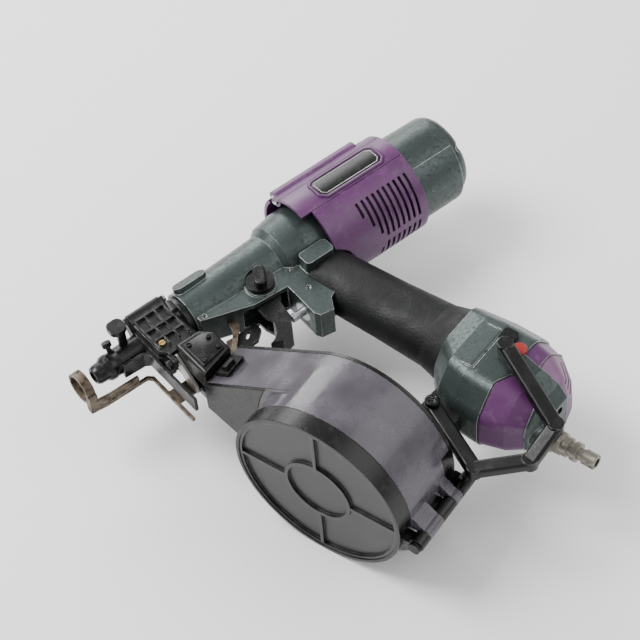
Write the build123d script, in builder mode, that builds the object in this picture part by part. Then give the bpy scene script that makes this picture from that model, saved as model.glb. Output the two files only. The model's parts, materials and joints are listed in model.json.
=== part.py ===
from build123d import *
import os
from math import cos, hypot, radians, sin

# Pneumatic coil roofing nailer, lying on its side.  Millimetres, +Z up.
# Tool directions: x runs along the drive axis from the contact ring to the head cap,
# y runs from the handle side to the crown, z is the width of the tool.
# The frame origin lies under the middle of the tool, on the surface that it rests on.

# ---- where the drive axis starts in the frame ----
AXIS_X = -157.5
AXIS_Y = 116.04
AXIS_Z = 62.5

# ---- drive line ----
BORE_R = 12.5
SLEEVE_R = 14.9
SLEEVE_START = 146.0
SLEEVE_END = 256.0
PISTON_REAR = 252.0
PISTON_LENGTH = 14.0
BLADE_R = 3.0
BLADE_TIP = 82.0
RUN_GAP = 0.05

# ---- main housing ----
BARREL_START = 86.0
BARREL_END = 158.0
BARREL_R = (18.5, 21.5)
COLLAR_R = 28.0
CHAMBER_R = 22.5
CHAMBER_START = 178.0
HOUSING_END = 264.0
FLANGE_R = 33.0
WEB_HALF = 12.0
TOOL_END = 317.0
CAP_R = 31.0
CHANNEL_R = 33.5

# ---- shroud ----
SHROUD_R = 37.0
SHROUD_WALL = 2.5
SHROUD_START = 183.5
SHROUD_END = 271.0
PANEL_EDGES = (65.0, 104.0)
SLIT = 0.8
TUBE_ANGLE = 42.0
TUBE_CENTRE_R = 34.8
TUBE_R = 6.0

# ---- handle ----
HANDLE_ROOT = (184.0, -44.0)
HANDLE_LEAN = 13.8
GRIP_END = 101.0

# ---- magazine ----
DRUM_CENTRE = (64.5, -169.0)
DRUM_TILT = 16.6
DRUM_R = 62.5
DRUM_DEPTH = 63.0
DRUM_WALL = 2.4
BAND_DEPTH = 12.5
CHANNEL_FRONT = 24.0
CHANNEL_HALF = 12.0
CHANNEL_END = 104.0
HINGE_V = -71.0
HINGE_Z = -9.0
HINGE_PIN_R = 2.5
KNUCKLE_R = 5.0

os.makedirs("parts", exist_ok=True)

DRIVE_AXIS = Axis((AXIS_X, AXIS_Y, AXIS_Z), (1, 0, 0))


def across(x, y=0.0, z=0.0):
    """Plane across the drive axis: local x is tool y, local y is tool z."""
    return Plane(origin=(AXIS_X + x, AXIS_Y + y, AXIS_Z + z), x_dir=(0, 1, 0), z_dir=(1, 0, 0))


def side(z=0.0):
    """Plane along the tool at width z: local x and y are tool x and y."""
    return Plane(origin=(AXIS_X, AXIS_Y, AXIS_Z + z))


def radial(angle):
    """Plane through the drive axis: local x is tool x, local y is the distance from the axis."""
    a = radians(angle)
    return Plane(origin=(AXIS_X, AXIS_Y, AXIS_Z), x_dir=(1, 0, 0), z_dir=(0, -sin(a), cos(a)))


def handle(t):
    """Plane across the handle, t mm down from its root: local x points to the head, y is z."""
    a = radians(HANDLE_LEAN)
    x = AXIS_X + HANDLE_ROOT[0] + t * sin(a)
    y = AXIS_Y + HANDLE_ROOT[1] - t * cos(a)
    return Plane(origin=(x, y, AXIS_Z), x_dir=(cos(a), sin(a), 0), z_dir=(sin(a), -cos(a), 0))


def drum(depth):
    """Plane across the drum: local x points to the nose, local y is z."""
    a = radians(DRUM_TILT)
    x = AXIS_X + DRUM_CENTRE[0] + depth * cos(a)
    y = AXIS_Y + DRUM_CENTRE[1] + depth * sin(a)
    return Plane(origin=(x, y, AXIS_Z), x_dir=(-sin(a), cos(a), 0), z_dir=(cos(a), sin(a), 0))


def coil_spring(start, direction, radius, wire, turns, length):
    """Private open coil spring from a tool point along a direction."""
    centre = (AXIS_X + start[0], AXIS_Y + start[1], AXIS_Z + start[2])
    with BuildPart() as spring:
        with BuildLine() as centre_line:
            Helix(pitch=length / turns, height=length, radius=radius, center=centre, direction=direction)
        path = centre_line.edges()[0]
        with BuildSketch(Plane(origin=path @ 0, z_dir=path % 0)):
            Circle(wire)
        sweep(path=path, is_frenet=True)
    return spring


def save(builder, name):
    """Labels a finished piece and writes its STEP file."""
    builder.part.label = name
    export_step(builder.part, f"parts/{name}.step")


# ======================= body castings =======================

WEB_OUTLINE = [
    (88, -8), (88, -18), (96, -21), (124, -31), (150, -33), (149, -63), (151, -67),
    (161, -69), (166, -60), (174, -56), (182, -40), (191, -30), (191, -8),
]
KNOB_POS = (137.0, -20.0)
TRIGGER_PIVOT = (141.0, -27.0)
VALVE_Y = -49.0
PIN_POSITIONS = [(159.0, -22.0), (160.0, -43.0), (92.5, -16.5)]
BOSS_POS = (178.5, -29.0)
PAD_ANGLE = 62.0

with BuildPart() as main_housing:
    with BuildSketch(side()):
        with BuildLine():
            Polyline(
                (BARREL_START, BARREL_R[0]), (BARREL_END, BARREL_R[1]), (BARREL_END + 5, 25.5),
                (CHAMBER_START, COLLAR_R), (HOUSING_END - 6, COLLAR_R + 0.5),
                (HOUSING_END - 6, FLANGE_R), (HOUSING_END, FLANGE_R), (HOUSING_END, CHAMBER_R),
                (CHAMBER_START, CHAMBER_R), (CHAMBER_START, SLEEVE_R + 0.1),
                (BARREL_START + 10, SLEEVE_R + 0.1), (BARREL_START + 10, 8.0),
                (BARREL_START, 8.0), (BARREL_START, BARREL_R[0]),
            )
        make_face()
    revolve(axis=DRIVE_AXIS)
    # flat web that carries the trigger and the root of the handle
    with BuildSketch(side(-WEB_HALF)):
        with BuildLine():
            Polyline(*WEB_OUTLINE, close=True)
        make_face()
    extrude(amount=2 * WEB_HALF)
    # air tube inside the grip
    with BuildSketch(handle(4)):
        Ellipse(17.0, 13.5)
    extrude(amount=GRIP_END - 4)
    with BuildSketch(handle(20)):
        Ellipse(13.0, 9.5)
    extrude(amount=GRIP_END - 20, mode=Mode.SUBTRACT)
    # bolt bosses beside the collar, one on each side
    with BuildSketch(side(-22.5)):
        with Locations(BOSS_POS):
            RectangleRounded(23, 12, 3)
    extrude(amount=45)
    # raised pad on the front of the barrel
    pad = radians(PAD_ANGLE)
    pad_origin = (AXIS_X + 100, AXIS_Y + 16 * cos(pad), AXIS_Z + 16 * sin(pad))
    with BuildSketch(Plane(origin=pad_origin, x_dir=(1, 0, 0), z_dir=(0, cos(pad), sin(pad)))):
        SlotOverall(26, 10)
    extrude(amount=6.5)
    # round seat of the mode knob
    with BuildSketch(side(WEB_HALF - 1)):
        with Locations(KNOB_POS):
            Circle(11)
    extrude(amount=2.5)
    with BuildSketch(side(WEB_HALF + 1.5)):
        with Locations(KNOB_POS):
            Circle(10.3)
    extrude(amount=20, mode=Mode.SUBTRACT)
    # bores and the sleeve's chamber
    with BuildSketch(across(BARREL_START)):
        Circle(8.0)
    extrude(amount=12, mode=Mode.SUBTRACT)
    with BuildSketch(across(BARREL_START + 10)):
        Circle(SLEEVE_R + 0.1)
    extrude(amount=CHAMBER_START - BARREL_START, mode=Mode.SUBTRACT)
    with BuildSketch(across(CHAMBER_START)):
        Circle(CHAMBER_R)
    extrude(amount=HOUSING_END - CHAMBER_START, mode=Mode.SUBTRACT)
    # trigger slot between two cheeks
    with BuildSketch(side(-8.6)):
        with Locations((132.5, -40)):
            Rectangle(34, 34)
    extrude(amount=17.2, mode=Mode.SUBTRACT)
    # seat of the trigger valve
    with BuildSketch(across(148, VALVE_Y)):
        Circle(7.05)
    extrude(amount=18, mode=Mode.SUBTRACT)
    # holes of the roll pins, the knob's stem and the trigger pin
    with BuildSketch(side(-WEB_HALF)):
        with Locations(*PIN_POSITIONS):
            Circle(1.6)
        with Locations(TRIGGER_PIVOT):
            Circle(2.0)
    extrude(amount=2 * WEB_HALF, mode=Mode.SUBTRACT)
    with BuildSketch(side(WEB_HALF - 3)):
        with Locations(KNOB_POS):
            Circle(4.05)
    extrude(amount=6, mode=Mode.SUBTRACT)
    # threaded holes of the head cap bolts
    with BuildSketch(across(HOUSING_END - 14)):
        with PolarLocations(25.4, 4, start_angle=45):
            Circle(2.0)
    extrude(amount=14, mode=Mode.SUBTRACT)
save(main_housing, "main_housing")

with BuildPart() as cylinder_sleeve:
    with BuildSketch(across(SLEEVE_START)):
        Circle(SLEEVE_R)
        Circle(BORE_R, mode=Mode.SUBTRACT)
    extrude(amount=SLEEVE_END - SLEEVE_START)
    with BuildSketch(across(226)):
        Circle(CHAMBER_R - 0.2)
        Circle(BORE_R, mode=Mode.SUBTRACT)
    extrude(amount=4)
    # return air holes
    with BuildSketch(side(-20)):
        with Locations((200, 0)):
            Circle(1.5)
    extrude(amount=40, mode=Mode.SUBTRACT)
save(cylinder_sleeve, "cylinder_sleeve")

with BuildPart() as blade_bush:
    with BuildSketch(across(BARREL_START + 10)):
        Circle(SLEEVE_R)
        Circle(BLADE_R + RUN_GAP, mode=Mode.SUBTRACT)
    extrude(amount=12)
save(blade_bush, "blade_bush")

with BuildPart() as bumper:
    with BuildSketch(across(SLEEVE_START)):
        Circle(BORE_R - 0.1)
        Circle(BLADE_R + 1, mode=Mode.SUBTRACT)
    extrude(amount=14)
    chamfer(bumper.faces().sort_by(Axis.X)[-1].edges(), 1.5)
save(bumper, "bumper")

with BuildPart() as piston:
    with BuildSketch(across(PISTON_REAR - PISTON_LENGTH)):
        Circle(BORE_R - RUN_GAP)
    extrude(amount=PISTON_LENGTH)
    with BuildSketch(across(PISTON_REAR - 8)):
        Circle(BORE_R)
        Circle(10.5, mode=Mode.SUBTRACT)
    extrude(amount=3, mode=Mode.SUBTRACT)
    with BuildSketch(across(PISTON_REAR - 5)):
        Circle(8)
    extrude(amount=5, mode=Mode.SUBTRACT)
save(piston, "piston")

with BuildPart() as piston_seal:
    with BuildSketch(across(PISTON_REAR - 8)):
        Circle(BORE_R - RUN_GAP)
        Circle(10.5, mode=Mode.SUBTRACT)
    extrude(amount=3)
save(piston_seal, "piston_seal")

with BuildPart() as driver_blade:
    with BuildSketch(across(BLADE_TIP)):
        Circle(BLADE_R)
    extrude(amount=PISTON_REAR - PISTON_LENGTH - BLADE_TIP)
save(driver_blade, "driver_blade")

# ---- head valve and head cap ----
with BuildPart() as head_valve:
    with BuildSketch(across(SLEEVE_END + 0.3)):
        Circle(18.9)
        Circle(7, mode=Mode.SUBTRACT)
    extrude(amount=6)
    with BuildSketch(across(SLEEVE_END + 6)):
        Circle(12)
        Circle(8, mode=Mode.SUBTRACT)
    extrude(amount=10)
save(head_valve, "head_valve")

head_valve_spring = coil_spring((SLEEVE_END + 7.4, 0, 0), (1, 0, 0), 15, 1.0, 5, 20)
save(head_valve_spring, "head_valve_spring")

with BuildPart() as head_cap:
    with BuildSketch(side()):
        with BuildLine():
            Polyline(
                (HOUSING_END, FLANGE_R), (HOUSING_END + 7, FLANGE_R), (HOUSING_END + 8, CAP_R),
                (TOOL_END, CAP_R - 1), (TOOL_END, 0), (300, 0), (300, 9), (286, 9),
                (286, 19.0), (HOUSING_END, 19.0), (HOUSING_END, FLANGE_R),
            )
        make_face()
    revolve(axis=DRIVE_AXIS)
    fillet(head_cap.faces().sort_by(Axis.X)[-1].outer_wire().edges(), 9)
    # wide raised channel on the handle side
    with BuildSketch(radial(125)):
        with Locations(((HOUSING_END + 308) / 2, (CHANNEL_R + 27) / 2)):
            Rectangle(308 - HOUSING_END, CHANNEL_R - 27)
    revolve(axis=DRIVE_AXIS, revolution_arc=110)
    fillet(head_cap.edges().filter_by(GeomType.CIRCLE).filter_by(
        lambda e: abs(e.radius - CHANNEL_R) < 0.01).sort_by(Axis.X)[-1], 3)
    with BuildSketch(across(HOUSING_END)):
        with PolarLocations(25.4, 4, start_angle=45):
            Circle(2.05)
    extrude(amount=44, mode=Mode.SUBTRACT)
    with BuildSketch(across(300)):
        with PolarLocations(25.4, 4, start_angle=45):
            Circle(4.2)
    extrude(amount=30, mode=Mode.SUBTRACT)
save(head_cap, "head_cap")

with BuildPart() as head_cap_bolts:
    with BuildSketch(across(HOUSING_END - 13)):
        with PolarLocations(25.4, 4, start_angle=45):
            Circle(2.0)
    extrude(amount=300 - HOUSING_END + 13)
    with BuildSketch(across(300)):
        with PolarLocations(25.4, 4, start_angle=45):
            Circle(4.0)
            RegularPolygon(2.3, 6, mode=Mode.SUBTRACT)
    extrude(amount=5)
    with BuildSketch(across(300)):
        with PolarLocations(25.4, 4, start_angle=45):
            Circle(3.0)
    extrude(amount=2)
save(head_cap_bolts, "head_cap_bolts")

# ======================= shroud =======================


def shell_sketch(start, x0, x1, r0, r1):
    """Rectangle in the radial plane at an angle, ready to be swung round the drive axis."""
    with BuildSketch(radial(start)) as sketch:
        with Locations(((x0 + x1) / 2, (r0 + r1) / 2)):
            Rectangle(x1 - x0, r1 - r0)
    return sketch.sketch


SHROUD_IN = SHROUD_R - SHROUD_WALL
with BuildPart() as shroud_crown:
    add(shell_sketch(-PANEL_EDGES[0] + SLIT, SHROUD_START, SHROUD_END, SHROUD_IN, SHROUD_R))
    revolve(axis=DRIVE_AXIS, revolution_arc=2 * (PANEL_EDGES[0] - SLIT))
    with BuildSketch(across(SHROUD_START + 3)):
        with PolarLocations(TUBE_CENTRE_R, 2, start_angle=-TUBE_ANGLE, angular_range=4 * TUBE_ANGLE):
            Circle(TUBE_R)
    extrude(amount=257 - SHROUD_START - 3)
    with BuildSketch(across(SHROUD_START)):
        with PolarLocations(TUBE_CENTRE_R, 2, start_angle=-TUBE_ANGLE, angular_range=4 * TUBE_ANGLE):
            Circle(3.6)
    extrude(amount=80, mode=Mode.SUBTRACT)
save(shroud_crown, "shroud_crown")

with BuildPart() as shroud_posts:
    with BuildSketch(across(SHROUD_START + 1.5)):
        with PolarLocations(TUBE_CENTRE_R, 2, start_angle=-TUBE_ANGLE, angular_range=4 * TUBE_ANGLE):
            Circle(3.5)
            Circle(1.4, mode=Mode.SUBTRACT)
    extrude(amount=70)
save(shroud_posts, "shroud_posts")

PLATE_START = 206.0
PLATE_LENGTH = 52.0
PLATE_HALF_ANGLE = 13.2
PLATE_ANGLE = sum(PANEL_EDGES) / 2
with BuildPart() as shroud_panels:
    for hand in (1, -1):
        first = PANEL_EDGES[0] if hand > 0 else -PANEL_EDGES[1]
        add(shell_sketch(first, SHROUD_START, SHROUD_END, SHROUD_IN, SHROUD_R))
        revolve(axis=DRIVE_AXIS, revolution_arc=PANEL_EDGES[1] - PANEL_EDGES[0])
        seat = hand * PLATE_ANGLE - PLATE_HALF_ANGLE - 0.3
        add(shell_sketch(seat, PLATE_START - 0.2, PLATE_START + PLATE_LENGTH + 0.2, 36.4, 38))
        revolve(axis=DRIVE_AXIS, revolution_arc=2 * PLATE_HALF_ANGLE + 0.6, mode=Mode.SUBTRACT)
save(shroud_panels, "shroud_panels")

with BuildPart() as name_plates:
    for hand in (1, -1):
        add(shell_sketch(hand * PLATE_ANGLE - PLATE_HALF_ANGLE, PLATE_START,
                         PLATE_START + PLATE_LENGTH, 36.42, 37.2))
        revolve(axis=DRIVE_AXIS, revolution_arc=2 * PLATE_HALF_ANGLE)
    chamfer(name_plates.edges().filter_by(lambda e: e.length < 1.0), 2.8)
save(name_plates, "name_plates")

LOUVRES = 10
LOUVRE_PITCH = 4.7
LOUVRE_START = 221.0
with BuildPart() as shroud_belly:
    add(shell_sketch(PANEL_EDGES[1] + SLIT, 192, SHROUD_END, SHROUD_IN, SHROUD_R))
    revolve(axis=DRIVE_AXIS, revolution_arc=360 - 2 * (PANEL_EDGES[1] + SLIT))
    for i in range(LOUVRES):
        x = LOUVRE_START + i * LOUVRE_PITCH
        reach = min(53.0, 18.0 + 14.0 * i)
        for start in (123.0, 237.0 - reach):
            add(shell_sketch(start, x - 1.1, x + 1.1, SHROUD_IN - 1, SHROUD_R + 1))
            revolve(axis=DRIVE_AXIS, revolution_arc=reach, mode=Mode.SUBTRACT)
    # saddle over the root of the handle
    with BuildSketch(handle(-30)):
        Ellipse(22.5, 19.0)
    extrude(amount=60, mode=Mode.SUBTRACT)
save(shroud_belly, "shroud_belly")

# ======================= handle =======================
GRIP_SECTIONS = [(-14, 21.0, 18.0), (45, 22.3, 19.0), (84, 24.0, 21.3), (94, 26.4, 23.8), (100.8, 28.5, 26.0)]

with BuildPart() as grip_sleeve:
    for t, half_depth, half_width in GRIP_SECTIONS:
        with BuildSketch(handle(t)):
            Ellipse(half_depth, half_width)
    loft(ruled=True)
    with BuildSketch(handle(2)):
        Ellipse(17.1, 13.6)
    extrude(amount=120, mode=Mode.SUBTRACT)
    with BuildSketch(across(120)):
        Circle(SHROUD_R + 0.4)
    extrude(amount=120, mode=Mode.SUBTRACT)
    add(main_housing.part, mode=Mode.SUBTRACT)
    with BuildSketch(side(-WEB_HALF - 0.1)):
        with BuildLine():
            Polyline((150, -20), (150, -70), (161.5, -70), (166.5, -60), (174.5, -56), (183, -40), (183, -20), close=True)
        make_face()
    extrude(amount=2 * WEB_HALF + 0.2, mode=Mode.SUBTRACT)
save(grip_sleeve, "grip_sleeve")

with BuildPart() as roll_pins:
    with BuildSketch(side(-WEB_HALF + 1)):
        with Locations(*PIN_POSITIONS):
            Circle(1.58)
            Circle(0.8, mode=Mode.SUBTRACT)
    extrude(amount=2 * WEB_HALF - 2)
save(roll_pins, "roll_pins")

# ---- casting at the end of the handle ----
CAP_SECTIONS = [(101, -1, 29, 26.5), (114, -8, 36.5, 30), (128, -10, 39.5, 31.5), (150, -11, 40, 31.5)]
TAIL_SECTIONS = [(150, -11, 40, 31.5), (166, -11, 35.5, 29), (179, -12, 26, 23), (186, -12, 16, 14)]
WINDOW_NEAR = [(149, -60), (149, -30), (154, -19), (177, -19), (177, -60)]
WINDOW_FAR = [(152, -1), (152, 40), (164, 40), (164, -3)]
EXHAUST_WINDOW = [(164.2, -3), (164.2, 40), (190, 40), (190, -3)]
INLET_P = -27.0
BUTTON_T = 147.0
CAP_BOLTS = [(-12, 8), (-12, -8)]
CAP_FLAT = 0.58
CAP_SIDE = 0.42
CAP_ROUND = 0.42
LABEL_POS = (123.0, -11.0)
LABEL_SIZE = (16.0, 36.0)
LABEL_FLOOR = 30.3


def handle_section(t, shift):
    """Plane across the handle with its centre moved by shift towards the head."""
    plane = handle(t)
    return Plane(origin=plane.from_local_coords((shift, 0, 0)), x_dir=plane.x_dir, z_dir=plane.z_dir)


def faceted_loft(sections, inset=0.0):
    """Private solid through rounded eight-sided sections across the handle."""
    with BuildPart() as body:
        for t, shift, half_depth, half_width in sections:
            a, b = half_depth - inset, half_width - inset
            corner, flat = CAP_FLAT * a, CAP_SIDE * b
            with BuildSketch(handle_section(t, shift)):
                with BuildLine():
                    Polyline((a, flat), (corner, b), (-corner, b), (-a, flat),
                             (-a, -flat), (-corner, -b), (corner, -b), (a, -flat), close=True)
                section = make_face()
                fillet(section.vertices(), CAP_ROUND * b)
        loft(ruled=True)
    return body.part


def handle_view(z):
    """Plane at width z: local x runs down the handle from its root, local y to the head."""
    a = radians(HANDLE_LEAN)
    return Plane(origin=(AXIS_X + HANDLE_ROOT[0], AXIS_Y + HANDLE_ROOT[1], AXIS_Z + z),
                 x_dir=(sin(a), -cos(a), 0), z_dir=(0, 0, 1))


def handle_prism(outline):
    """Private prism through the whole width of the handle's end."""
    with BuildPart() as prism:
        with BuildSketch(handle_view(-40)):
            with BuildLine():
                Polyline(*outline, close=True)
            make_face()
        extrude(amount=80)
    return prism.part


CAP_SOLID = faceted_loft(CAP_SECTIONS) + faceted_loft(TAIL_SECTIONS)
INSERT_SOLID = faceted_loft(CAP_SECTIONS, 1.0) + faceted_loft(TAIL_SECTIONS, 1.0)

with BuildPart() as cap_core:
    with BuildSketch(handle(100)):
        Ellipse(17.1, 13.6)
    extrude(amount=11)
    with BuildSketch(handle_section(110, -8)):
        Ellipse(27, 21)
    extrude(amount=52)

with BuildPart() as inlet_boss:
    with BuildSketch(handle_section(158, INLET_P)):
        Circle(10.5)
    extrude(amount=30)

with BuildPart() as button_hole:
    with BuildSketch(handle_view(22)):
        with Locations((BUTTON_T, 0)):
            Circle(5.08)
    extrude(amount=20)

with BuildPart() as end_cap:
    add(CAP_SOLID)
    add(handle_prism(WINDOW_NEAR), mode=Mode.SUBTRACT)
    add(handle_prism(WINDOW_FAR), mode=Mode.SUBTRACT)
    add(handle_prism(EXHAUST_WINDOW), mode=Mode.SUBTRACT)
    add(inlet_boss.part)
    add(cap_core.part, mode=Mode.SUBTRACT)
    with BuildSketch(handle_section(150, INLET_P)):
        Circle(6.5)
    extrude(amount=60, mode=Mode.SUBTRACT)
    add(button_hole.part, mode=Mode.SUBTRACT)
    with BuildSketch(handle(164)):
        with Locations(*CAP_BOLTS):
            Circle(2.05)
    extrude(amount=30, mode=Mode.SUBTRACT)
    with BuildSketch(handle(179)):
        with Locations(*CAP_BOLTS):
            Circle(3.7)
    extrude(amount=15, mode=Mode.SUBTRACT)
    # engraved frame of the empty label field
    with BuildSketch(handle_view(LABEL_FLOOR)):
        with Locations(LABEL_POS):
            Rectangle(*LABEL_SIZE)
            Rectangle(LABEL_SIZE[0] - 1.6, LABEL_SIZE[1] - 1.6, mode=Mode.SUBTRACT)
    extrude(amount=6, mode=Mode.SUBTRACT)
save(end_cap, "end_cap")

with BuildPart() as end_cap_bolts:
    with BuildSketch(handle(164)):
        with Locations(*CAP_BOLTS):
            Circle(2.0)
    extrude(amount=15)
    with BuildSketch(handle(179)):
        with Locations(*CAP_BOLTS):
            Circle(3.5)
    extrude(amount=3.5)
    with BuildSketch(handle(181)):
        with Locations(*CAP_BOLTS):
            RegularPolygon(2.0, 6)
    extrude(amount=3, mode=Mode.SUBTRACT)
save(end_cap_bolts, "end_cap_bolts")

with BuildPart() as end_cap_inserts:
    add(INSERT_SOLID)
    add(handle_prism(WINDOW_NEAR) + handle_prism(WINDOW_FAR), mode=Mode.INTERSECT)
    add(cap_core.part, mode=Mode.SUBTRACT)
    add(inlet_boss.part, mode=Mode.SUBTRACT)
    add(button_hole.part, mode=Mode.SUBTRACT)
save(end_cap_inserts, "end_cap_inserts")

with BuildPart() as exhaust_grille:
    add(INSERT_SOLID)
    add(handle_prism(EXHAUST_WINDOW), mode=Mode.INTERSECT)
    with BuildSketch(handle_section(160, 2)):
        Ellipse(12, 15)
    extrude(amount=13, mode=Mode.SUBTRACT)
    # exhaust slots
    for z in range(-18, 19, 4):
        with BuildSketch(handle_view(z - 0.8)):
            with Locations((179, 14)):
                Rectangle(20, 24)
        extrude(amount=1.6, mode=Mode.SUBTRACT)
save(exhaust_grille, "exhaust_grille")

with BuildPart() as duster_button:
    with BuildSketch(handle_view(25.5)):
        with Locations((BUTTON_T, 0)):
            Circle(5.0)
    extrude(amount=7.5)
    fillet(duster_button.faces().sort_by(Axis.Z)[-1].edges(), 1.2)
save(duster_button, "duster_button")

with BuildPart() as duster_nozzle:
    with BuildSketch(handle_view(26)):
        with Locations((136, 5)):
            RectangleRounded(11, 9, 3)
    extrude(amount=8)
    add(CAP_SOLID, mode=Mode.SUBTRACT)
save(duster_nozzle, "duster_nozzle")

# ---- air inlet ----
PLUG_NOSE_R = 5.25
PLUG_TIP = 224.0
with BuildPart() as inlet_bush:
    with BuildSketch(handle_section(164, INLET_P)):
        Circle(6.5)
        Circle(4.6, mode=Mode.SUBTRACT)
    extrude(amount=24)
    with BuildSketch(handle_section(188, INLET_P)):
        RegularPolygon(9.8, 6)
        Circle(4.6, mode=Mode.SUBTRACT)
    extrude(amount=5)
save(inlet_bush, "inlet_bush")

with BuildPart() as air_plug:
    with BuildSketch(handle_section(176, INLET_P)):
        Circle(4.6)
    extrude(amount=17)
    with BuildSketch(handle_section(193, INLET_P)):
        RegularPolygon(8.6, 6)
    extrude(amount=6)
    for start, length, radius in ((199, 5, 6.8), (204, 3, 5.3), (207, 4, 6.7), (211, 4, 4.3)):
        with BuildSketch(handle_section(start, INLET_P)):
            Circle(radius)
        extrude(amount=length)
    with BuildSketch(handle_section(215, INLET_P)):
        Circle(PLUG_NOSE_R)
    extrude(amount=PLUG_TIP - 215)
    chamfer(air_plug.faces().sort_by(Axis.Y)[0].edges(), 0.6)
    with BuildSketch(handle_section(170, INLET_P)):
        Circle(3.2)
    extrude(amount=60, mode=Mode.SUBTRACT)
save(air_plug, "air_plug")

# ======================= hook and hanger =======================
SCREW_POS = (158.0, -172.0)
HOOK_ROUTE = [(158, -172, 10.2), (145.5, -226.5, 10.2), (173, -247.5, 15.5), (197.5, -244, 26.5), (209.5, -184, 40)]
HOOK_WIDTH = 10.5
HOOK_THICK = 8.0


def tool_point(x, y, z):
    """Frame point of a tool point."""
    return Vector(AXIS_X + x, AXIS_Y + y, AXIS_Z + z)


with BuildPart() as hanger_block:
    with BuildSketch(side(-8)):
        with BuildLine():
            Polyline((149, -165), (172, -160), (178, -186), (152, -190), close=True)
        make_face()
    extrude(amount=14)
    # arm out to the back of the magazine
    with BuildSketch(side(-8)):
        with BuildLine():
            Polyline((127.9, -161), (136.9, -191), (153, -189), (152, -166), close=True)
        make_face()
    extrude(amount=12)
    add(CAP_SOLID, mode=Mode.SUBTRACT)
    with BuildSketch(side(-8)):
        with Locations(SCREW_POS):
            Circle(2.45)
    extrude(amount=14, mode=Mode.SUBTRACT)
save(hanger_block, "hanger_block")

with BuildPart() as hook:
    for a, b in zip(HOOK_ROUTE[:-1], HOOK_ROUTE[1:]):
        start = tool_point(*a)
        run = tool_point(*b) - start
        with BuildSketch(Plane(origin=start, x_dir=Vector(0, 0, 1).cross(run), z_dir=run)):
            RectangleRounded(HOOK_WIDTH, HOOK_THICK, 2.4)
        extrude(amount=run.length)
    for x, y, z in HOOK_ROUTE:
        with Locations(tool_point(x, y, z)):
            Cylinder(HOOK_WIDTH / 2, HOOK_THICK)
    with BuildSketch(side(0)):
        with Locations(SCREW_POS):
            Circle(2.6)
    extrude(amount=20, mode=Mode.SUBTRACT)
save(hook, "hook")

with BuildPart() as hook_screw:
    with BuildSketch(side(-7)):
        with Locations(SCREW_POS):
            Circle(2.4)
    extrude(amount=21.5)
    with BuildSketch(side(14.3)):
        with Locations(SCREW_POS):
            Circle(5.0)
    extrude(amount=3.2)
    fillet(hook_screw.faces().sort_by(Axis.Z)[-1].edges(), 1.4)
    with BuildSketch(side(15.8)):
        with Locations(SCREW_POS):
            Rectangle(6, 1.3)
            Rectangle(1.3, 6)
    extrude(amount=4, mode=Mode.SUBTRACT)
save(hook_screw, "hook_screw")

# ======================= trigger =======================
with BuildPart() as trigger:
    with BuildSketch(side(-8.2)):
        with BuildLine():
            Polyline((124, -33), (133, -26), (138.5, -23.9), (143, -24), (145.6, -27.5), (145.6, -31),
                     (140, -38), (137.5, -52), (131, -62), (121, -64.5), (113, -61.5))
            ThreePointArc((113, -61.5), (122, -56.5), (126, -47))
            Polyline((126, -47), (124, -40), (124, -33))
        make_face()
    extrude(amount=16.4)
    with BuildSketch(side(-5.6)):
        with Locations((135, -32)):
            Rectangle(32, 30)
    extrude(amount=11.2, mode=Mode.SUBTRACT)
    with BuildSketch(side(-9)):
        with Locations(TRIGGER_PIVOT):
            Circle(2.05)
    extrude(amount=18, mode=Mode.SUBTRACT)
    # bar that presses the valve's plunger
    with BuildSketch(side(-6)):
        with Locations((134.7, -44.9)):
            Rectangle(6.4, 4.8)
    extrude(amount=12)
save(trigger, "trigger")

with BuildPart() as trigger_pin:
    with BuildSketch(side(-WEB_HALF + 0.5)):
        with Locations(TRIGGER_PIVOT):
            Circle(1.98)
    extrude(amount=2 * WEB_HALF - 1)
save(trigger_pin, "trigger_pin")

with BuildPart() as trigger_valve:
    with BuildSketch(across(149.5, VALVE_Y)):
        Circle(7.0)
    extrude(amount=16)
    with BuildSketch(across(149, VALVE_Y)):
        Circle(3.0)
    extrude(amount=14.5, mode=Mode.SUBTRACT)
    with BuildSketch(side(-9)):
        with Locations(PIN_POSITIONS[1]):
            Circle(1.6)
    extrude(amount=18, mode=Mode.SUBTRACT)
save(trigger_valve, "trigger_valve")

with BuildPart() as valve_plunger:
    with BuildSketch(across(140.0, VALVE_Y)):
        Circle(2.95)
    extrude(amount=17)
save(valve_plunger, "valve_plunger")

plunger_spring = coil_spring((157.4, VALVE_Y, 0), (1, 0, 0), 2.1, 0.35, 4, 5.6)
save(plunger_spring, "plunger_spring")

with BuildPart() as mode_knob:
    with BuildSketch(side(9.2)):
        with Locations(KNOB_POS):
            Circle(4.0)
    extrude(amount=5)
    with BuildSketch(side(13.8)):
        with Locations(KNOB_POS):
            Circle(9.6)
    extrude(amount=3.2)
    with BuildSketch(side(17)):
        with Locations(KNOB_POS):
            SlotOverall(17.5, 8.5, rotation=58)
    extrude(amount=7)
    fillet(mode_knob.faces().sort_by(Axis.Z)[-1].edges(), 1.5)
save(mode_knob, "mode_knob")

# ======================= nose =======================
DOOR_X = (51.5, 77.5)
DOOR_HINGE = (14.8, 12.0)
FEED_X = 74.0
FEED_Z = 13.4

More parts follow.
